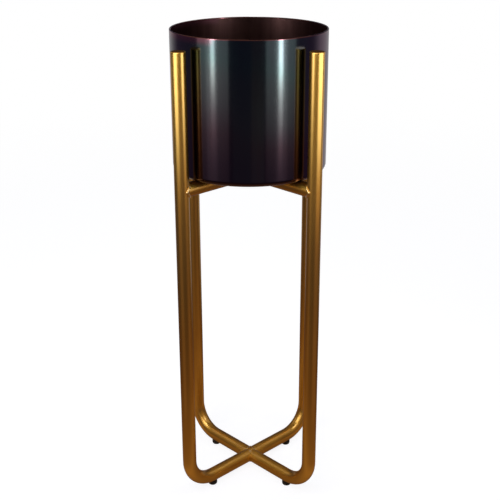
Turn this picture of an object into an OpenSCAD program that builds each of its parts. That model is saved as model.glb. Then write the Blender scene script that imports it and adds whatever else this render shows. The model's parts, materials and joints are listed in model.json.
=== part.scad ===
// Plant stand: four bent-tube legs that cross under a round sheet-metal pot.
//
// Millimetres, +Z up. The origin is on the floor, on the stand's upright axis. The front looks along -Y,
// and the four legs stand on the two diagonals, so each corner has a name such as front_left.
// The stand is one long U-shaped tube from front left to back right, with two J-shaped tubes coped and
// welded against it. Three straight lengths of the same tube make the cross that the pot stands on.

/* [Pot] */
// Outside diameter of the pot's wall
pot_d = 204; // [150:1:300]
// Height of the pot, from its underside to the top of its rim
pot_h = 183; // [120:1:260]
// Thickness of the pot's sheet metal
pot_wall = 1; // [0.6:0.1:2]
// Outer radius of the turn from the pot's wall into its flat bottom
pot_corner_r = 7; // [4:0.5:15]
// Depth of the hem folded inwards round the rim
hem_h = 7; // [4:0.5:15]

/* [Tube] */
// Outside diameter of the tube that makes the legs, the base arms and the cross
tube_d = 19; // [16:0.5:25]
// Wall of the tube
tube_wall = 1.2; // [0.8:0.1:2]
// Centre-line radius of the bend from a leg into its base arm
bend_r = 42; // [30:1:60]

/* [Stand] */
// Height of the top of the cross above the floor
seat_h = 466; // [250:1:650]
// Space between the pot's wall and each leg
leg_gap = 7; // [2:0.5:15]
// How far the legs rise above the top of the cross, with their caps
leg_rise = 167; // [60:1:180]

/* [Leg caps] */
// Thickness of a cap above the end of its leg
cap_h = 2.5; // [2:0.1:4]
// Radius of the rounded edge of a cap
cap_edge_r = 1.5; // [0.5:0.1:1.8]
// How deep a cap's plug reaches into its leg
cap_plug_h = 8; // [4:0.5:15]

/* [Feet] */
// Diameter of a rubber foot's pad under the tube
foot_d = 13; // [11:0.5:15]
// Radius of the round edge that turns into the flat bottom of the pad
foot_edge_r = 3.2; // [1:0.1:4]
// Height of the base arms above the floor, held up by the pads
foot_h = 6; // [4.5:0.1:10]
// Distance from the start of the bend in to the middle of a foot
foot_setback = 0.5; // [0:0.5:15]
// Diameter of the stem that goes through the tube's wall
stem_d = 5; // [4:0.1:6]
// Diameter of the barb that holds the stem inside the tube
barb_d = 7; // [6.4:0.1:8]
// Diameter of the barb's blunt tip
barb_tip_d = 3.6; // [3:0.1:5]
// Height of the barb
barb_h = 4.5; // [3:0.1:6]

/* [Welds] */
// Throat of the ground-down welds where the base arms meet
base_weld = 1; // [0.6:0.1:1.5]
// Throat of the welds that hold the cross to the legs
leg_weld = 1.6; // [1:0.1:2.4]
// Throat of the welds in the middle of the cross
hub_weld = 1; // [0.6:0.1:1.5]
// How far below the top of the cross its middle welds are ground off
hub_grind = 0.4; // [0.2:0.1:1]

/* [Clearances] */
// Space between the pot's underside and the cross, at rest
pot_rest_gap = 0.3; // [0.1:0.1:0.5]
// Radial clearance of a cap's plug in its leg
plug_clearance = 0.05; // [0.05:0.05:0.2]
// Clearance of a foot's stem and barb in the tube
stem_clearance = 0.05; // [0.05:0.05:0.2]
// Length left off the pointed lips of a coped end
cope_blunt = 2; // [1:0.5:3]

/* [Hidden] */
$fn = 96;
// How far a cutting shape runs past the face that it cuts
over = 1;

FRONT_LEFT = 225;
FRONT_RIGHT = 315;
BACK_RIGHT = 45;
BACK_LEFT = 135;

pot_r = pot_d / 2;
tube_r = tube_d / 2;
bore_d = tube_d - 2 * tube_wall;
bore_r = bore_d / 2;

// Distance of each leg's centre line from the upright axis
leg_r = pot_r + leg_gap + tube_r;
// Height of the base arms' centre line
arm_z = foot_h + tube_r;
// Where each bend starts: its distance from the axis, and the height of its centre
bend_x = leg_r - bend_r;
bend_z = arm_z + bend_r;
// Top of the leg tubes, under their caps
leg_top_z = seat_h + leg_rise - cap_h;
// Height of the cross's centre line
cross_z = seat_h - tube_r;
// Height of the pot's underside
pot_z = seat_h + pot_rest_gap;
// Distance of each foot from the upright axis
foot_x = bend_x - foot_setback;

// Height at which a round of radius r has widened to half_w on each side, above its lowest point
function rise(r, half_w) = r - sqrt(r * r - half_w * half_w);

// ---- Pot ----

// Half of the section of a round pan with a rounded bottom edge, standing on the X axis
module pan_section(r, corner_r, h) {
    square([r - corner_r, h]);
    translate([0, corner_r])
        square([r, h - corner_r]);
    translate([r - corner_r, corner_r])
        circle(r = corner_r);
}

// Half of the pot's section: a drawn pan of even wall, with its rim folded inwards
module pot_section() {
    // The fold's round top is as wide as two sheets
    fold_z = pot_h - pot_wall;
    difference() {
        pan_section(pot_r, pot_corner_r, fold_z);
        translate([0, pot_wall])
            pan_section(pot_r - pot_wall, pot_corner_r - pot_wall, fold_z);
        // Clears what the corner circle leaves on the far side of the axis
        translate([-pot_r, -over])
            square([pot_r, pot_h + 2 * over]);
    }
    translate([pot_r - 2 * pot_wall, pot_h - hem_h])
        square([2 * pot_wall, hem_h - pot_wall]);
    translate([pot_r - pot_wall, fold_z])
        circle(r = pot_wall);
}

module pot() {
    color("#1c1a22")
        translate([0, 0, pot_z])
            rotate_extrude($fn = 180)
                pot_section();
}

// ---- Legs and base ----

// Round bar of diameter d along +X, from x = a to x = b, at height z
module along_x(d, a, b, z) {
    translate([a, 0, z])
        rotate([0, 90, 0])
            cylinder(d = d, h = b - a);
}

// Leg on the +X side, above its bend, as a solid bar of diameter d; extra lengthens its top
module leg(d, extra = 0) {
    translate([leg_r, 0, bend_z])
        cylinder(d = d, h = leg_top_z - bend_z + extra);
}

// Leg on the +X side and its bend, as a solid bar of diameter d
module leg_and_bend(d, extra = 0) {
    leg(d, extra);
    translate([bend_x, 0, bend_z])
        rotate([-90, 0, 0])
            rotate_extrude(angle = 90)
                translate([bend_r, 0])
                    circle(d = d);
}

// Hole through the lower wall of a base arm for its foot's stem
module foot_hole() {
    translate([foot_x, 0, foot_h - over])
        cylinder(d = stem_d + 2 * stem_clearance, h = tube_wall + 2 * over);
}

// One continuous tube: front left leg, both arms along that diagonal, back right leg
module long_u_tube() {
    color("#b8862f")
        rotate([0, 0, BACK_RIGHT])
            difference() {
                union() {
                    for (turn = [0, 180])
                        rotate([0, 0, turn])
                            leg_and_bend(tube_d);
                    along_x(tube_d, -bend_x, bend_x, arm_z);
                }
                for (turn = [0, 180])
                    rotate([0, 0, turn]) {
                        leg_and_bend(bore_d, over);
                        foot_hole();
                    }
                along_x(bore_d, -bend_x, bend_x, arm_z);
            }
}

// Leg, bend and one arm, with the arm's end coped to the long tube that crosses it
module j_tube(azimuth) {
    color("#b8862f")
        rotate([0, 0, azimuth])
            difference() {
                union() {
                    leg_and_bend(tube_d);
                    along_x(tube_d, cope_blunt, bend_x, arm_z);
                }
                leg_and_bend(bore_d, over);
                along_x(bore_d, 0, bend_x, arm_z);
                foot_hole();
                rotate([0, 0, 90])
                    along_x(tube_d, -bend_x, bend_x, arm_z);
            }
}

// ---- Cross under the pot ----

// Length of tube from x = a to x = b at the height of the cross, bored through
module cross_tube(a, b) {
    difference() {
        along_x(tube_d, a, b, cross_z);
        along_x(bore_d, a - over, b + over, cross_z);
    }
}

// Bar from leg to leg, coped at both ends
module long_cross_bar() {
    color("#a87a35")
        rotate([0, 0, BACK_RIGHT])
            difference() {
                cross_tube(cope_blunt - leg_r, leg_r - cope_blunt);
                for (turn = [0, 180])
                    rotate([0, 0, turn])
                        leg(tube_d);
            }
}

// Bar from the middle of the cross to one leg, coped at both ends
module short_cross_bar(azimuth) {
    color("#a87a35")
        rotate([0, 0, azimuth])
            difference() {
                cross_tube(cope_blunt, leg_r - cope_blunt);
                leg(tube_d);
                rotate([0, 0, 90])
                    along_x(tube_d, -leg_r, leg_r, cross_z);
            }
}

// ---- Leg caps ----

// Round plate with a rounded edge, on a plug that fits the bore of its leg
module cap(azimuth) {
    plug_r = bore_r - plug_clearance;
    color("#a8792c")
        rotate([0, 0, azimuth])
            translate([leg_r, 0, leg_top_z])
                rotate_extrude() {
                    translate([0, -cap_plug_h])
                        square([plug_r, cap_plug_h]);
                    square([tube_r, cap_h - cap_edge_r]);
                    square([tube_r - cap_edge_r, cap_h]);
                    intersection() {
                        translate([tube_r - cap_edge_r, cap_h - cap_edge_r])
                            circle(r = cap_edge_r);
                        square([tube_r, cap_h]);
                    }
                }
}

// ---- Feet ----

// Half of the section of a foot's pad, up to where it meets the side of the tube
module pad_section() {
    pad_r = foot_d / 2;
    pad_top_z = foot_h + rise(tube_r, pad_r);
    square([pad_r - foot_edge_r, pad_top_z]);
    translate([0, foot_edge_r])
        square([pad_r, pad_top_z - foot_edge_r]);
    intersection() {
        translate([pad_r - foot_edge_r, foot_edge_r])
            circle(r = foot_edge_r);
        square([pad_r, foot_edge_r]);
    }
}

// Stem through the tube's wall, with the barb that grips the wall from inside
module stem_and_barb() {
    barb_z = foot_h + tube_wall + rise(bore_r, barb_d / 2) + stem_clearance;
    translate([0, 0, foot_h / 2])
        cylinder(d = stem_d, h = barb_z + barb_h / 2 - foot_h / 2);
    translate([0, 0, barb_z])
        cylinder(d1 = barb_d, d2 = barb_tip_d, h = barb_h);
}

// Rubber foot pushed into the arm from below, its pad saddled to the round of the tube
module foot(azimuth) {
    color("#17171a")
        rotate([0, 0, azimuth]) {
            difference() {
                translate([foot_x, 0, 0])
                    rotate_extrude()
                        pad_section();
                leg_and_bend(tube_d);
                along_x(tube_d, 0, bend_x, arm_z);
            }
            translate([foot_x, 0, 0])
                stem_and_barb();
        }
}

// ---- Welds ----

// Fillet where the end of an arm on the +X side meets the long tube that crosses it
module base_weld(azimuth) {
    weld_d = tube_d + 2 * base_weld;
    color("#9c7430")
        rotate([0, 0, azimuth])
            difference() {
                intersection() {
                    along_x(weld_d, cope_blunt / 2, bend_x, arm_z);
                    rotate([0, 0, 90])
                        along_x(weld_d, -tube_d, tube_d, arm_z);
                }
                along_x(tube_d, 0, bend_x, arm_z);
                rotate([0, 0, 90])
                    along_x(tube_d, -tube_d - over, tube_d + over, arm_z);
            }
}

// Fillet round the end of the bar on the +X side, where it meets its leg
module leg_weld(azimuth) {
    weld_d = tube_d + 2 * leg_weld;
    color("#b08a4a")
        rotate([0, 0, azimuth])
            difference() {
                intersection() {
                    along_x(weld_d, leg_r - tube_d, leg_r - cope_blunt / 2, cross_z);
                    leg(weld_d);
                }
                along_x(tube_d, leg_r - tube_d - over, leg_r, cross_z);
                leg(tube_d);
            }
}

// Fillet where a short bar meets the long one, ground flat on top for the pot
module hub_weld(azimuth) {
    weld_d = tube_d + 2 * hub_weld;
    color("#9c7430")
        rotate([0, 0, azimuth])
            difference() {
                intersection() {
                    along_x(weld_d, cope_blunt / 2, leg_r, cross_z);
                    rotate([0, 0, 90])
                        along_x(weld_d, -tube_d, tube_d, cross_z);
                    translate([0, -tube_d, seat_h - hub_grind - 2 * tube_d])
                        cube([2 * tube_d, 2 * tube_d, 2 * tube_d]);
                }
                along_x(tube_d, 0, leg_r, cross_z);
                rotate([0, 0, 90])
                    along_x(tube_d, -tube_d - over, tube_d + over, cross_z);
            }
}

pot();
long_u_tube();
j_tube(FRONT_RIGHT);  // front_right_j_tube
j_tube(BACK_LEFT);  // back_left_j_tube
long_cross_bar();
short_cross_bar(FRONT_RIGHT);  // front_right_cross_bar
short_cross_bar(BACK_LEFT);  // back_left_cross_bar
cap(FRONT_LEFT);  // cap_front_left
cap(FRONT_RIGHT);  // cap_front_right
cap(BACK_RIGHT);  // cap_back_right
cap(BACK_LEFT);  // cap_back_left
foot(FRONT_LEFT);  // foot_front_left
foot(FRONT_RIGHT);  // foot_front_right
foot(BACK_RIGHT);  // foot_back_right
foot(BACK_LEFT);  // foot_back_left
base_weld(FRONT_RIGHT);  // base_weld_front_right
base_weld(BACK_LEFT);  // base_weld_back_left
leg_weld(FRONT_LEFT);  // leg_weld_front_left
leg_weld(FRONT_RIGHT);  // leg_weld_front_right
leg_weld(BACK_RIGHT);  // leg_weld_back_right
leg_weld(BACK_LEFT);  // leg_weld_back_left
hub_weld(FRONT_RIGHT);  // hub_weld_front_right
hub_weld(BACK_LEFT);  // hub_weld_back_left
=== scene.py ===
"""Plant stand of bent gold tube with a loose dark iridescent pot, as a product picture in a white studio.

Everything is in metres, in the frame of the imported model: +Z up, -Y the front, the origin on the floor
under the middle of the stand.
"""

import json
import math

import bmesh
import bpy
from mathutils import Matrix, Vector


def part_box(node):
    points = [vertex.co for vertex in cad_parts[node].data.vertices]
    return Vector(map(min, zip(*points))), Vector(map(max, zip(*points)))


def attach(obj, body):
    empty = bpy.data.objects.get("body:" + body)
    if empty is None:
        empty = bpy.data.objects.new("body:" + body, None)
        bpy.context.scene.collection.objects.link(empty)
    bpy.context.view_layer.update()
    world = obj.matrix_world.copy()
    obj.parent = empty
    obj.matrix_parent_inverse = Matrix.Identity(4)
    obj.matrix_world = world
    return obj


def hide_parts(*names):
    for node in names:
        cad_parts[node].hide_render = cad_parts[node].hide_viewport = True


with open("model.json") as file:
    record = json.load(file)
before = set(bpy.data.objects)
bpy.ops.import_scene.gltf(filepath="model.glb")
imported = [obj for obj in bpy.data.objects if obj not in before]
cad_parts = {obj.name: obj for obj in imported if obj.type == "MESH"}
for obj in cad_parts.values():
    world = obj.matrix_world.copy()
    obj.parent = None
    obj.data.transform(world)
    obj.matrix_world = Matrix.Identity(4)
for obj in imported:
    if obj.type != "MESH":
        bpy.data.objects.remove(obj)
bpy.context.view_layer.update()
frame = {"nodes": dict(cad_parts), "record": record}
NODES = frame["nodes"]

CORNERS = ("front_left", "front_right", "back_right", "back_left")
MM = 0.001


# ---- Sizes read from the frame ----

def middle(node):
    """The middle of a CAD node's box."""
    low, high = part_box(node)
    return (low + high) / 2


def size(node):
    """The extent of a CAD node's box along each axis."""
    low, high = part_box(node)
    return high - low


TUBE_R = size("cap_front_left").x / 2
LEG_R = middle("cap_back_right").xy.length
CROSS_Z = middle("long_cross_bar").z
ARM_Z = middle("base_weld_front_right").z
POT_LOW_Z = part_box("pot")[0].z
POT_TOP_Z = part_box("pot")[1].z


def azimuth_of(corner):
    """Direction of a corner's leg from the upright axis, as an angle from +X."""
    place = middle("cap_" + corner)
    return math.atan2(place.y, place.x)


# ---- Node helpers ----

# Noise values mostly lie between these
NOISE_LOW = 0.3
NOISE_HIGH = 0.7


def put(tree, socket, value):
    """Links another node's socket to this one, or sets this one to a plain value."""
    if isinstance(value, bpy.types.NodeSocket):
        tree.links.new(value, socket)
    else:
        socket.default_value = value


def feed(tree, node, values):
    """Sets or links a node's inputs: values gives each input's name or number, and a value or a socket."""
    for name, value in values.items():
        put(tree, node.inputs[name], value)


def add(tree, kind, values=None, **settings):
    """A new shader node with its settings, and its inputs as in feed."""
    made = tree.nodes.new(kind)
    for name, value in settings.items():
        setattr(made, name, value)
    feed(tree, made, values or {})
    return made


def math_node(tree, operation, *values):
    """The result socket of a Math node."""
    return add(tree, "ShaderNodeMath", dict(enumerate(values)), operation=operation).outputs[0]


def vector_node(tree, operation, *values):
    """The result socket of a Vector Math node: a number for a length, a distance or a dot product."""
    made = add(tree, "ShaderNodeVectorMath", dict(enumerate(values)), operation=operation)
    return next(socket for socket in made.outputs if socket.enabled)


def ramp(tree, factor, *stops):
    """A colour ramp's socket; each stop is (position, colour), and a plain number is a grey."""
    made = add(tree, "ShaderNodeValToRGB", {"Fac": factor})
    band = made.color_ramp
    while len(band.elements) < len(stops):
        band.elements.new(1.0)
    for element, (position, colour) in zip(band.elements, stops):
        element.position = position
        if isinstance(colour, (int, float)):
            colour = (colour, colour, colour)
        element.color = (*colour, 1.0)
    return made.outputs["Color"]


def mixed(tree, factor, first, second):
    """The socket of a mix of two colours, each of them a tuple or a socket."""
    made = add(tree, "ShaderNodeMix", data_type="RGBA")
    for name, value in {"Factor": factor, "A": first, "B": second}.items():
        socket = next(s for s in made.inputs if s.name == name and s.enabled)
        put(tree, socket, (*value, 1.0) if isinstance(value, tuple) else value)
    return next(s for s in made.outputs if s.enabled)


def noise(tree, coordinates, scale, detail=3.0, stretch=(1.0, 1.0, 1.0)):
    """A noise value on object coordinates: scale is its waves in a metre, and stretch thins them by axis."""
    mapping = add(tree, "ShaderNodeMapping", {"Vector": coordinates, "Scale": stretch})
    values = {"Vector": mapping.outputs[0], "Scale": scale, "Detail": detail}
    return add(tree, "ShaderNodeTexNoise", values).outputs["Fac"]


def remap(tree, value, low, high, to_low=0.0, to_high=1.0, smooth=False):
    """The socket of a value that is moved from low..high to to_low..to_high and held at the ends."""
    values = {"Value": value, "From Min": low, "From Max": high, "To Min": to_low, "To Max": to_high}
    kind = "SMOOTHSTEP" if smooth else "LINEAR"
    return add(tree, "ShaderNodeMapRange", values, interpolation_type=kind).outputs["Result"]


def varied(tree, value, to_low, to_high):
    """A noise value spread over to_low..to_high."""
    return remap(tree, value, NOISE_LOW, NOISE_HIGH, to_low, to_high)


def bump(tree, height, strength, distance):
    """A bump of the given depth in metres."""
    values = {"Height": height, "Strength": strength, "Distance": distance}
    return add(tree, "ShaderNodeBump", values).outputs["Normal"]


def new_material(name):
    """A material, its tree, its Principled shader and the object coordinates."""
    material = bpy.data.materials.new(name)
    material.use_nodes = True
    tree = material.node_tree
    shader = tree.nodes["Principled BSDF"]
    coordinates = add(tree, "ShaderNodeTexCoord").outputs["Object"]
    return material, tree, shader, coordinates


def dress(node_or_piece, material):
    """Gives an object one material."""
    data = node_or_piece.data
    data.materials.clear()
    data.materials.append(material)


# ---- Gold ----

GOLD_DEEP = (0.63, 0.325, 0.029)
GOLD_PALE = (0.71, 0.390, 0.043)
# What the metal turns to at a slant
GOLD_EDGE = (0.40, 0.26, 0.12)
WELD_DEEP = (0.60, 0.320, 0.030)
WELD_PALE = (0.72, 0.420, 0.060)
# Roughness where the base arms were ground flush after welding, of the tubes and of the weld metal
GROUND_TUBE_ROUGHNESS = 0.55
GROUND_WELD_ROUGHNESS = 0.58
# How far from the middle of the crossing the grinding starts to show, and where it shows in full
GROUND_R = 30 * MM
GROUND_FULL_R = 18 * MM


def ground_or(tree, where, plain, ground):
    """A roughness that is plain in most places, and ground round the crossing of the base arms."""
    distance = vector_node(tree, "DISTANCE", where, (0, 0, ARM_Z))
    share = remap(tree, distance, GROUND_R, GROUND_FULL_R, smooth=True)
    return remap(tree, share, 0.0, 1.0, plain, ground)


def antique_gold():
    """Satin gold finish on tube: faint lines along the tube, cloudy depth of colour."""
    material, tree, shader, where = new_material("antique_gold")
    cloud = noise(tree, where, 28.0, detail=2.0, stretch=(1, 1, 0.35))
    lines = noise(tree, where, 320.0, detail=2.0, stretch=(1, 1, 0.05))
    satin = varied(tree, lines, 0.32, 0.34)
    feed(tree, shader, {
        "Base Color": ramp(tree, cloud, (NOISE_LOW, GOLD_DEEP), (NOISE_HIGH, GOLD_PALE)),
        "Metallic": 1.0,
        "Specular Tint": (*GOLD_EDGE, 1.0),
        "Roughness": ground_or(tree, where, satin, GROUND_TUBE_ROUGHNESS),
        "Coat Weight": 0.8,
        "Coat IOR": 1.75,
        "Coat Roughness": 0.24,
    })
    return material


def weld_gold():
    """The same gold over weld metal, with a fine grain."""
    material, tree, shader, where = new_material("weld_gold")
    cloud = noise(tree, where, 160.0, detail=4.0)
    grain = noise(tree, where, 1400.0, detail=3.0)
    uneven = varied(tree, grain, 0.26, 0.36)
    feed(tree, shader, {
        "Base Color": ramp(tree, cloud, (NOISE_LOW, WELD_DEEP), (NOISE_HIGH, WELD_PALE)),
        "Metallic": 1.0,
        "Roughness": ground_or(tree, where, uneven, GROUND_WELD_ROUGHNESS),
        "Coat Weight": 1.0,
        "Coat IOR": 2.1,
        "Coat Roughness": 0.12,
        "Normal": bump(tree, grain, 0.25, 0.3 * MM),
    })
    return material


# ---- Pot ----

# The glaze's tint by height, from 0 at the pot's foot to 1 at its rim: purple brown, grey, teal
HEIGHT_TINTS = (
    (0.12, (0.086, 0.046, 0.062)),
    (0.32, (0.098, 0.057, 0.067)),
    (0.44, (0.098, 0.074, 0.081)),
    (0.55, (0.097, 0.094, 0.095)),
    (0.71, (0.092, 0.105, 0.102)),
    (0.84, (0.076, 0.110, 0.106)),
    (0.95, (0.077, 0.103, 0.107)),
)
# How far the tint wanders up and down, as a share of the pot's height
TINT_DRIFT = 0.07
# How much lower the tint sits for each metre to the right, as a share of the pot's height
TINT_LEAN = 1.3
# Faint upright streaks: the noise where they start and are full, and how far they change the tint
STREAK_FROM = 0.35
STREAK_FULL = 0.65
STREAK_SHARE = 0.25
STREAK_TINT = (0.070, 0.062, 0.078)
# How far a surface is turned from the eye where the tint starts to shift, and where it has shifted in full
SLANT_FROM = 0.25
SLANT_FULL = 0.65
# What it shifts to, greyer on the left and purple on the right, and where each of the two is reached
LEFT_SLANT_TINT = (0.112, 0.098, 0.110)
RIGHT_SLANT_TINT = (0.150, 0.082, 0.124)
LEFT_SLANT_X = -100 * MM
RIGHT_SLANT_X = 50 * MM
# The inside is a duller brown. A place is inside where the normal's part away from the axis, times its
# distance from the axis, is below the first limit, or the normal's upward part is above the second.
LINING_DARK = (0.118, 0.058, 0.056)
LINING_PALE = (0.158, 0.082, 0.077)
LINING_DULLNESS = 0.2
INWARD_LIMIT = -5 * MM
UPWARD_LIMIT = 0.3
# Bare, rosier metal on the fold of the rim
RIM_TINT = (0.27, 0.115, 0.13)
RIM_TINT_H = 1.5 * MM
# A rosy stretch under the rim on the left: how far below the rim and how far left it starts and is full
ROSE_TINT = (0.23, 0.10, 0.125)
ROSE_LOW_H = 11 * MM
ROSE_FULL_H = 2 * MM
ROSE_EDGE_X = -38 * MM
ROSE_FULL_X = -54 * MM


def height_tint(tree, where, place):
    """The glaze's colour by height."""
    height = remap(tree, place.outputs["Z"], POT_LOW_Z, POT_TOP_Z)
    drift = varied(tree, noise(tree, where, 9.0, detail=2.0), -TINT_DRIFT, TINT_DRIFT)
    lean = math_node(tree, "MULTIPLY", place.outputs["X"], TINT_LEAN)
    up = math_node(tree, "ADD", height, math_node(tree, "ADD", drift, lean))
    return ramp(tree, up, *HEIGHT_TINTS)


def slant_tint(tree, place):
    """The glaze's colour at a slant."""
    to_right = remap(tree, place.outputs["X"], LEFT_SLANT_X, RIGHT_SLANT_X)
    return mixed(tree, to_right, LEFT_SLANT_TINT, RIGHT_SLANT_TINT)


def rose_area(tree, place):
    """1 on the rosy stretch under the rim, 0 away from it."""
    low_z = POT_TOP_Z - ROSE_LOW_H
    full_z = POT_TOP_Z - ROSE_FULL_H
    near_rim = remap(tree, place.outputs["Z"], low_z, full_z, smooth=True)
    on_left = remap(tree, place.outputs["X"], ROSE_EDGE_X, ROSE_FULL_X, smooth=True)
    return math_node(tree, "MULTIPLY", near_rim, on_left)


def inner_side(tree, place):
    """1 where a surface faces the pot's axis or looks up, 0 elsewhere."""
    normal = add(tree, "ShaderNodeTexCoord").outputs["Normal"]
    from_axis = add(tree, "ShaderNodeCombineXYZ", {0: place.outputs["X"], 1: place.outputs["Y"]})
    outward = vector_node(tree, "DOT_PRODUCT", normal, from_axis.outputs[0])
    upward = add(tree, "ShaderNodeSeparateXYZ", {0: normal}).outputs["Z"]
    faces_axis = math_node(tree, "LESS_THAN", outward, INWARD_LIMIT)
    looks_up = math_node(tree, "GREATER_THAN", upward, UPWARD_LIMIT)
    return math_node(tree, "MAXIMUM", faces_axis, looks_up)


def pot_enamel():
    """Near-black glaze on sheet metal with a faint tint: purple brown below, teal above, a rosy rim."""
    material, tree, shader, where = new_material("pot_enamel")
    place = add(tree, "ShaderNodeSeparateXYZ", {0: where})
    below_rim = math_node(tree, "LESS_THAN", place.outputs["Z"], POT_TOP_Z - RIM_TINT_H)
    inside = math_node(tree, "MULTIPLY", inner_side(tree, place), below_rim)
    at_rim = math_node(tree, "SUBTRACT", 1.0, below_rim)

    streaks = remap(
        tree, noise(tree, where, 130.0, detail=3.0, stretch=(1, 1, 0.03)), STREAK_FROM, STREAK_FULL)
    faint_streaks = math_node(tree, "MULTIPLY", streaks, STREAK_SHARE)
    facing = add(tree, "ShaderNodeLayerWeight", {"Blend": 0.5}).outputs["Facing"]
    slant = remap(tree, facing, SLANT_FROM, SLANT_FULL)
    glaze = mixed(tree, faint_streaks, height_tint(tree, where, place), STREAK_TINT)
    glaze = mixed(tree, slant, glaze, slant_tint(tree, place))
    lining = mixed(tree, streaks, LINING_DARK, LINING_PALE)
    colour = mixed(tree, inside, glaze, lining)
    colour = mixed(tree, rose_area(tree, place), colour, ROSE_TINT)
    colour = mixed(tree, at_rim, colour, RIM_TINT)

    gloss = varied(tree, noise(tree, where, 260.0, detail=3.0), 0.125, 0.16)
    dullness = math_node(tree, "MULTIPLY", inside, LINING_DULLNESS)
    dents = noise(tree, where, 14.0, detail=1.0, stretch=(1, 1, 0.4))
    feed(tree, shader, {
        "Base Color": colour,
        "Metallic": 1.0,
        "Roughness": math_node(tree, "ADD", gloss, dullness),
        "Normal": bump(tree, dents, 0.15, 0.6 * MM),
    })
    return material


# ---- Feet ----

RUBBER_BLACK = (0.010, 0.010, 0.011)
RUBBER_DUSTY = (0.026, 0.025, 0.024)


def foot_rubber():
    """Matt black rubber with a fine moulded grain and a little dust."""
    material, tree, shader, where = new_material("foot_rubber")
    grain = noise(tree, where, 2200.0, detail=2.0)
    dust = noise(tree, where, 130.0, detail=3.0)
    feed(tree, shader, {
        "Base Color": ramp(tree, dust, (0.35, RUBBER_BLACK), (0.75, RUBBER_DUSTY)),
        "Roughness": varied(tree, grain, 0.52, 0.68),
        "Normal": bump(tree, grain, 0.3, 0.1 * MM),
    })
    return material


# ---- Weld beads ----

# Rings along a bead, points in each ring, the bead's radius, and its ripples in one turn round the seam
BEAD_STEPS = 288
BEAD_SIDES = 14
BEAD_R = 1.75 * MM
RIPPLES = 36
# Shares of BEAD_R: the depth of a ripple, how far its ring is drawn back into a crescent, and how far the
# bead strays from its seam in long waves and in short ones
RIPPLE_DEPTH = 0.13
CRESCENT = 0.35
LONG_WANDER = 0.12
SHORT_WANDER = 0.06
# How many of those waves there are in one turn round the seam, and where the long ones start, in radians
LONG_WAVES = 3
SHORT_WAVES = 7
LONG_START = 1.3
# The share of its depth by which a ripple starts below BEAD_R
RIPPLE_START = 0.6
# Half of the angle over which the seam's direction is taken, in radians
SEAM_STEP = 0.01


def leg_seam(angle):
    """Where the end of a bar along +X meets an upright leg of the same tube, with both outward normals."""
    across, up = math.sin(angle), math.cos(angle)
    point = Vector((LEG_R - TUBE_R * abs(up), TUBE_R * across, CROSS_Z + TUBE_R * up))
    return point, Vector((0, across, up)), Vector((-abs(up), across, 0))


def hub_seam(angle):
    """Where the end of a bar along +X meets the bar that runs across it, with both outward normals."""
    across, up = math.sin(angle), math.cos(angle)
    point = Vector((TUBE_R * abs(across), TUBE_R * across, CROSS_Z + TUBE_R * up))
    return point, Vector((0, across, up)), Vector((abs(across), 0, up))


def bead_ring(seam, angle, turn):
    """The points of a bead's cross-section at one place of its seam."""
    point, bar_normal, other_normal = seam(angle)
    ahead = seam(angle + SEAM_STEP)[0] - seam(angle - SEAM_STEP)[0]
    along = ahead.normalized()
    outward = (bar_normal + other_normal).normalized()
    outward = (outward - along * outward.dot(along)).normalized()
    side = along.cross(outward)
    phase = (angle * RIPPLES / math.tau) % 1.0
    radius = BEAD_R * (1 + RIPPLE_DEPTH * (math.sqrt(phase) - RIPPLE_START))
    wander = LONG_WANDER * math.sin(LONG_WAVES * angle + LONG_START)
    wander += SHORT_WANDER * math.sin(SHORT_WAVES * angle)
    centre = point + side * BEAD_R * wander
    ring = []
    for step in range(BEAD_SIDES):
        around = math.tau * step / BEAD_SIDES
        drawn_back = CRESCENT * BEAD_R * math.sin(around) ** 2
        offset = outward * math.cos(around) + side * math.sin(around)
        ring.append(turn @ (centre + offset * radius - along * drawn_back))
    return ring


def finished(name, mesh):
    """A smooth-shaded object of the scene, made from a bmesh."""
    data = bpy.data.meshes.new(name)
    mesh.to_mesh(data)
    mesh.free()
    for polygon in data.polygons:
        polygon.use_smooth = True
    made = bpy.data.objects.new(name, data)
    bpy.context.scene.collection.objects.link(made)
    return made


def bead(name, seam, azimuth, top_z=None):
    """A closed rippled bead round a coped end; top_z is where it is ground flat."""
    turn = Matrix.Rotation(azimuth, 3, "Z")
    mesh = bmesh.new()
    rings = []
    for step in range(BEAD_STEPS):
        points = bead_ring(seam, math.tau * (step + 0.5) / BEAD_STEPS, turn)
        if top_z is not None:
            for point in points:
                point.z = min(point.z, top_z)
        rings.append([mesh.verts.new(point) for point in points])
    for ring, following in zip(rings, rings[1:] + rings[:1]):
        for step in range(BEAD_SIDES):
            beside = (step + 1) % BEAD_SIDES
            mesh.faces.new((ring[step], ring[beside], following[beside], following[step]))
    bmesh.ops.recalc_face_normals(mesh, faces=mesh.faces)
    return finished(name, mesh)


def weld_beads(material):
    """Rippled beads in place of the plain fillets on the legs and in the middle of the cross."""
    hub_top_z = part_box("hub_weld_front_right")[1].z
    places = [("leg_weld_", corner, leg_seam, None) for corner in CORNERS]
    places += [("hub_weld_", corner, hub_seam, hub_top_z) for corner in ("front_right", "back_left")]
    for prefix, corner, seam, top_z in places:
        piece = bead("bead_" + prefix + corner, seam, azimuth_of(corner), top_z)
        dress(piece, material)
        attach(piece, "stand")
        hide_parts(prefix + corner)


# ---- Lamps ----

# A fade says how bright a lamp is at each height in metres: a share of its full glow, plain or coloured.

def warm(share):
    """A share of a lamp's full glow, with the tan of the room in it."""
    return share, share * 0.62, share * 0.36


def cool(share):
    """A share of a lamp's full glow, a little towards daylight."""
    return share * 0.84, share * 0.90, share


def purple(share):
    """A share of a lamp's full glow with little green in it."""
    return share, share * 0.5, share * 0.95


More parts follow.
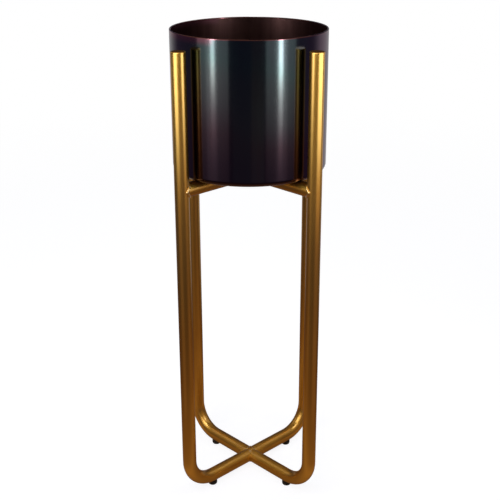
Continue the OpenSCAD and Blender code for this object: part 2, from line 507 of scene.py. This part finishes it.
# The tall softboxes of the pot and the bright cores in their middles
POT_FADE = ((0.0, 0.08), (0.10, 0.13), (0.19, 0.20), (0.27, 0.38), (0.33, 0.60), (0.40, 0.85), (0.46, 1.0))
LEFT_CORE_FADE = (
    (0.17, 0.0), (0.21, 0.002), (0.25, 0.004), (0.29, 0.010), (0.32, 0.030), (0.35, 0.036), (0.38, 0.05),
    (0.395, 0.19), (0.415, 0.20), (0.435, 0.44), (0.465, 0.43), (0.485, 0.30), (0.55, 0.80),
)
RIGHT_CORE_FADE = (
    (0.17, 0.0), (0.21, 0.01), (0.25, 0.02), (0.30, 0.035), (0.32, 0.13), (0.35, 0.14), (0.38, 0.14),
    (0.395, 0.36), (0.415, 0.60), (0.435, 0.90), (0.465, 1.0), (0.485, 0.80), (0.55, 0.65),
)
# The dim fills in front of the pot: a teal one low down, and one that turns from pale blue to rust higher up
LOW_FADE = ((0.0, (0.5, 0.9, 0.8)), (0.26, (0.4, 0.8, 0.7)), (0.37, 0.0))
RUST_FADE = (
    (0.0, (0.8, 0.9, 0.9)), (0.26, (0.9, 0.9, 0.5)), (0.36, (1.0, 0.75, 0.3)), (0.46, (0.7, 0.3, 0.1)),
)
# The purple glow on both sides of the pot
SIDE_FADE = ((0.0, purple(0.6)), (0.30, purple(1.0)))
# The panels of the tubes, daylight at the height of the pot and dim tan below it
LEFT_TUBE_FADE = (
    (0.0, warm(0.026)), (0.215, warm(0.024)), (0.278, warm(0.027)), (0.33, warm(0.039)),
    (0.405, warm(0.075)), (0.468, cool(0.28)), (0.52, cool(0.68)), (0.567, cool(0.94)),
    (0.65, cool(0.94)), (0.78, cool(0.40)), (1.1, cool(0.25)),
)
RIGHT_TUBE_FADE = (
    (0.0, warm(0.026)), (0.215, warm(0.026)), (0.278, warm(0.034)), (0.33, warm(0.056)),
    (0.405, warm(0.135)), (0.468, cool(0.43)), (0.52, cool(0.76)), (0.567, cool(0.92)),
    (0.65, cool(0.92)), (0.78, cool(0.40)), (1.1, cool(0.25)),
)
# The fill between the panels
MIDDLE_FADE = ((0.25, 0.0), (0.33, warm(0.6)), (0.42, warm(1.0)), (0.65, warm(1.0)), (0.80, 0.0))
# The wings, behind the stand on both sides
WING_FADE = ((0.10, warm(0.1)), (0.30, warm(0.25)), (0.45, 1.0))
# The high lamps start above the leg tops, so that the upright tubes don't mirror them and the back bends do
HIGH_FADE = ((0.66, 0.0), (0.72, 1.0))

# Each softbox stands upright, square to its direction from the axis. Its row gives that direction in degrees
# to the right of the front, its distance from the axis, half its width in degrees as seen from there, its
# full radiance, where 1 is white, and its fade.
POT_SOFTBOXES = {
    "left_softbox": (-50.5, 1.10, 23.5, 0.5, POT_FADE),
    "left_halo": (-52.0, 1.09, 8.0, 0.45, POT_FADE),
    "left_core": (-49.5, 1.07, 3.1, 15.0, LEFT_CORE_FADE),
    "right_softbox": (46.0, 1.10, 22.0, 0.5, POT_FADE),
    "right_halo": (47.0, 1.09, 8.0, 0.5, POT_FADE),
    "right_core": (45.0, 1.07, 2.9, 15.5, RIGHT_CORE_FADE),
    "low_front": (0.0, 1.10, 22.0, 0.05, LOW_FADE),
    "mild_right": (13.0, 1.10, 8.5, 0.04, RUST_FADE),
    "left_side": (-102.0, 1.10, 27.0, 0.035, SIDE_FADE),
    "right_side": (96.0, 1.10, 27.0, 0.05, SIDE_FADE),
}
TUBE_SOFTBOXES = {
    "left_panel": (-41.0, 0.351, 16.6, 3.5, LEFT_TUBE_FADE),
    "right_panel": (54.5, 0.344, 23.8, 3.8, RIGHT_TUBE_FADE),
    "middle_fill": (3.0, 0.39, 21.0, 0.12, MIDDLE_FADE),
    "left_wing": (-118.0, 0.60, 18.0, 0.35, WING_FADE),
    "right_wing": (118.0, 0.60, 18.0, 0.35, WING_FADE),
    "high_near": (-28.0, 0.60, 34.0, 1.9, HIGH_FADE),
    "high_far": (-28.0, 1.30, 26.0, 1.9, HIGH_FADE),
}
SOFTBOX_H = 1.3
# An area lamp's radiance for one watt on one square metre
LAMP_RADIANCE = 1 / math.pi


def towards(degrees):
    """Unit vector on the floor at an angle to the right of the front."""
    angle = math.radians(degrees)
    return Vector((math.sin(angle), -math.cos(angle), 0))


def lamp_shader(lamp, fade):
    """Makes a lamp's glow follow its fade."""
    lamp.use_nodes = True
    tree = lamp.node_tree
    position = add(tree, "ShaderNodeNewGeometry").outputs["Position"]
    place = add(tree, "ShaderNodeSeparateXYZ", {0: position})
    height = remap(tree, place.outputs["Z"], 0.0, SOFTBOX_H)
    stops = [(z / SOFTBOX_H, share) for z, share in fade]
    feed(tree, tree.nodes["Emission"], {"Color": ramp(tree, height, *stops)})


def softbox(name, direction, distance, half_width, radiance, fade, receivers):
    """An upright rectangular lamp that faces the stand's axis and lights only the receivers."""
    lamp = bpy.data.lights.new(name, "AREA")
    lamp.shape = "RECTANGLE"
    lamp.size = 2 * distance * math.tan(math.radians(half_width))
    lamp.size_y = SOFTBOX_H
    lamp.energy = radiance * lamp.size * lamp.size_y / LAMP_RADIANCE
    lamp_shader(lamp, fade)
    made = bpy.data.objects.new(name, lamp)
    out = towards(direction)
    made.location = out * distance + Vector((0, 0, SOFTBOX_H / 2))
    made.rotation_mode = "QUATERNION"
    made.rotation_quaternion = (-out).to_track_quat("-Z", "Y")
    made.visible_camera = False
    made.light_linking.receiver_collection = receivers
    bpy.context.scene.collection.objects.link(made)


def gathered(name, objects):
    """A collection that only lists objects, for the lamps that light them."""
    made = bpy.data.collections.new(name)
    for obj in objects:
        made.objects.link(obj)
    return made


def lamps():
    """One set of softboxes for the pot, and one for everything else, as a studio would flag them."""
    pot = NODES["pot"]
    others = [obj for obj in bpy.context.scene.objects if obj.type == "MESH" and obj is not pot]
    for title, rows, lit in (("pot_lit", POT_SOFTBOXES, [pot]), ("tubes_lit", TUBE_SOFTBOXES, others)):
        receivers = gathered(title, lit)
        for name, settings in rows.items():
            softbox(name, *settings, receivers)


# ---- World ----

# What reflections show: a pale sweep behind the stand, the dim room in front of it and a warm ceiling
SWEEP_GLOW = (0.44, 0.44, 0.45)
ROOM_GLOW = (0.044, 0.043, 0.072)
CEILING_GLOW = (0.21, 0.155, 0.085)
# The direction of the sweep's middle, not quite straight behind the stand
SWEEP_MIDDLE = (0.15, 1.0, 0.0)
# How far towards the sweep's middle a direction points where it starts to show, and where it shows in full
SWEEP_FROM = 0.34
SWEEP_FULL = 0.80
# How steeply upward a direction points where the sweep starts to fade, and where it is gone
SWEEP_FADES = 0.03
SWEEP_ENDS = 0.14
# The same where the ceiling starts and is full, in front of the stand, and how much higher it is behind it
CEILING_FROM = 0.02
CEILING_FULL = 0.32
CEILING_RISE = 0.4


def seen_directly(tree):
    """Two sockets: 1 for a camera ray, and 1 for a ray that a mirror or glass sends on."""
    path = add(tree, "ShaderNodeLightPath")
    glossy, through = path.outputs["Is Glossy Ray"], path.outputs["Is Transmission Ray"]
    mirrored = math_node(tree, "MAXIMUM", glossy, through)
    return path.outputs["Is Camera Ray"], mirrored


def on_sweep(tree, direction):
    """How much of the sweep shows in a direction: 0 to 1."""
    along = vector_node(tree, "DOT_PRODUCT", direction, SWEEP_MIDDLE)
    return remap(tree, along, SWEEP_FROM, SWEEP_FULL, smooth=True)


def white_world():
    """White to the camera; the sweep, room and ceiling in reflections; the dim room alone as soft light."""
    world = bpy.data.worlds.new("studio")
    bpy.context.scene.world = world
    world.use_nodes = True
    tree = world.node_tree
    direction = add(tree, "ShaderNodeTexCoord").outputs["Generated"]
    parts = add(tree, "ShaderNodeSeparateXYZ", {0: direction})
    upward = parts.outputs["Z"]
    low = remap(tree, upward, SWEEP_FADES, SWEEP_ENDS, 1.0, 0.0, smooth=True)
    back = math_node(tree, "MULTIPLY", on_sweep(tree, direction), low)
    backward = math_node(tree, "MAXIMUM", parts.outputs["Y"], 0.0)
    rise = math_node(tree, "MULTIPLY", backward, CEILING_RISE)
    steepness = math_node(tree, "SUBTRACT", upward, rise)
    above = remap(tree, steepness, CEILING_FROM, CEILING_FULL, smooth=True)
    around = mixed(tree, back, ROOM_GLOW, SWEEP_GLOW)
    surroundings = mixed(tree, above, around, CEILING_GLOW)
    camera, mirrored = seen_directly(tree)
    shown = mixed(tree, mirrored, ROOM_GLOW, surroundings)
    feed(tree, tree.nodes["Background"], {"Color": mixed(tree, camera, shown, (1, 1, 1)), "Strength": 1.0})


# ---- Floor ----

FLOOR_R = 14.0
FLOOR_SIDES = 96
# The floor takes light, and so shows shadows, up to the first distance from the axis. It is plain white from
# the second on.
FLOOR_NEAR_R = 0.9
FLOOR_FAR_R = 2.6
# The greys between which its matt paper varies
PAPER_DARK = 0.26
PAPER_PALE = 0.30
# The glow that the camera sees besides, by distance from the axis: less near the stand, where the shadow is
PAPER_GLOW = ((0.10, (0.885, 0.890, 0.903)), (0.30, (0.957, 0.959, 0.963)))
# Its colour in reflections, by distance too, is a painted glow of lit floor: a warm tone near the stand,
# with painted shade closest to the stand, which fades into the room's
PAINTED_FLOOR_GLOW = (
    (0.09, (0.23, 0.140, 0.065)), (0.15, (0.40, 0.250, 0.110)), (0.21, (0.25, 0.145, 0.070)),
    (0.42, (0.13, 0.072, 0.044)), (0.80, (0.056, 0.034, 0.036)), (1.0, ROOM_GLOW),
)
# Where the sweep sets in on the floor, and where it is full
SWEEP_NEAR_R = 0.4
SWEEP_FAR_R = 0.9


def painted_floor_in_reflections(tree, where, distance):
    """The painted glow that the floor shows in reflections, with painted shade closest to the stand."""
    along = vector_node(tree, "NORMALIZE", where)
    out = remap(tree, distance, SWEEP_NEAR_R, SWEEP_FAR_R, smooth=True)
    back = math_node(tree, "MULTIPLY", on_sweep(tree, along), out)
    return mixed(tree, back, ramp(tree, distance, *PAINTED_FLOOR_GLOW), SWEEP_GLOW)


def floor_white():
    """Matt paper with a glow near the stand, plain white further out, and in reflections a painted glow in
    place of the lit paper.
    """
    material = bpy.data.materials.new("floor_white")
    material.use_nodes = True
    tree = material.node_tree
    tree.nodes.clear()
    where = add(tree, "ShaderNodeTexCoord").outputs["Object"]
    distance = vector_node(tree, "LENGTH", where)
    far = remap(tree, distance, FLOOR_NEAR_R, FLOOR_FAR_R, smooth=True)
    paper = ramp(tree, noise(tree, where, 40.0), (0.0, PAPER_DARK), (1.0, PAPER_PALE))
    camera, mirrored = seen_directly(tree)
    matt = add(tree, "ShaderNodeBsdfDiffuse", {"Color": mixed(tree, mirrored, paper, (0, 0, 0))})
    # In reflections the paper takes no light: a painted glow of lit floor stands in for it, with painted
    # shade closest to the stand.
    painted_reflection = mixed(tree, mirrored, (0, 0, 0), painted_floor_in_reflections(tree, where, distance))
    glowing_paper = ramp(tree, distance, *PAPER_GLOW)
    near_glow = add(tree, "ShaderNodeEmission", {"Color": mixed(tree, camera, painted_reflection, glowing_paper)})
    far_glow = add(tree, "ShaderNodeEmission", {"Color": mixed(tree, camera, painted_reflection, (1, 1, 1))})
    near = add(tree, "ShaderNodeAddShader", {0: matt.outputs[0], 1: near_glow.outputs[0]})
    both = add(tree, "ShaderNodeMixShader", {0: far, 1: near.outputs[0], 2: far_glow.outputs[0]})
    add(tree, "ShaderNodeOutputMaterial", {"Surface": both.outputs[0]})
    return material


def studio_floor():
    """A wide round floor that keeps the stand's soft shadow."""
    mesh = bmesh.new()
    bmesh.ops.create_circle(mesh, cap_ends=True, segments=FLOOR_SIDES, radius=FLOOR_R)
    floor = finished("floor", mesh)
    dress(floor, floor_white())


# ---- Camera ----

# The viewpoint is fitted to the photograph. Its angles are in radians, its lens and sensor in millimetres,
# and its shift is a share of the picture's width.
CAMERA_PLACE = Vector((0.0262, -1.2424, 0.8274))
CAMERA_PITCH = math.radians(-20.515)
CAMERA_ROLL = math.radians(-0.173)
CAMERA_ASIDE = math.radians(0.024)
CAMERA_LENS = 69.23
CAMERA_SENSOR = 36.0
CAMERA_SHIFT_Y = -0.024


def camera():
    """The photograph's viewpoint, headed nearly at the stand's axis."""
    data = bpy.data.cameras.new("camera")
    data.lens = CAMERA_LENS
    data.sensor_width = CAMERA_SENSOR
    data.shift_y = CAMERA_SHIFT_Y
    made = bpy.data.objects.new("camera", data)
    heading = Vector((-CAMERA_PLACE.x, -CAMERA_PLACE.y, 0)).normalized()
    heading.rotate(Matrix.Rotation(-CAMERA_ASIDE, 3, "Z"))
    forward = heading * math.cos(CAMERA_PITCH) + Vector((0, 0, math.sin(CAMERA_PITCH)))
    level_right = forward.cross(Vector((0, 0, 1))).normalized()
    level_up = level_right.cross(forward)
    right = level_right * math.cos(CAMERA_ROLL) + level_up * math.sin(CAMERA_ROLL)
    up = right.cross(forward)
    turned = Matrix((right, up, -forward)).transposed()
    made.matrix_world = Matrix.Translation(CAMERA_PLACE) @ turned.to_4x4()
    bpy.context.scene.collection.objects.link(made)
    bpy.context.scene.camera = made


# ---- The whole scene ----

def dress_cad_nodes(materials):
    """Gives each CAD node the material of its slot in the record."""
    for row in frame["record"]["subparts"]:
        dress(NODES[row["node"]], materials[row["material_slot"]])


MATERIALS = {
    "pot_enamel": pot_enamel(),
    "antique_gold": antique_gold(),
    "foot_rubber": foot_rubber(),
    "weld_metal": weld_gold(),
}
dress_cad_nodes(MATERIALS)
weld_beads(MATERIALS["weld_metal"])
camera()
white_world()
studio_floor()
lamps()
bpy.context.scene.view_settings.view_transform = "Standard"
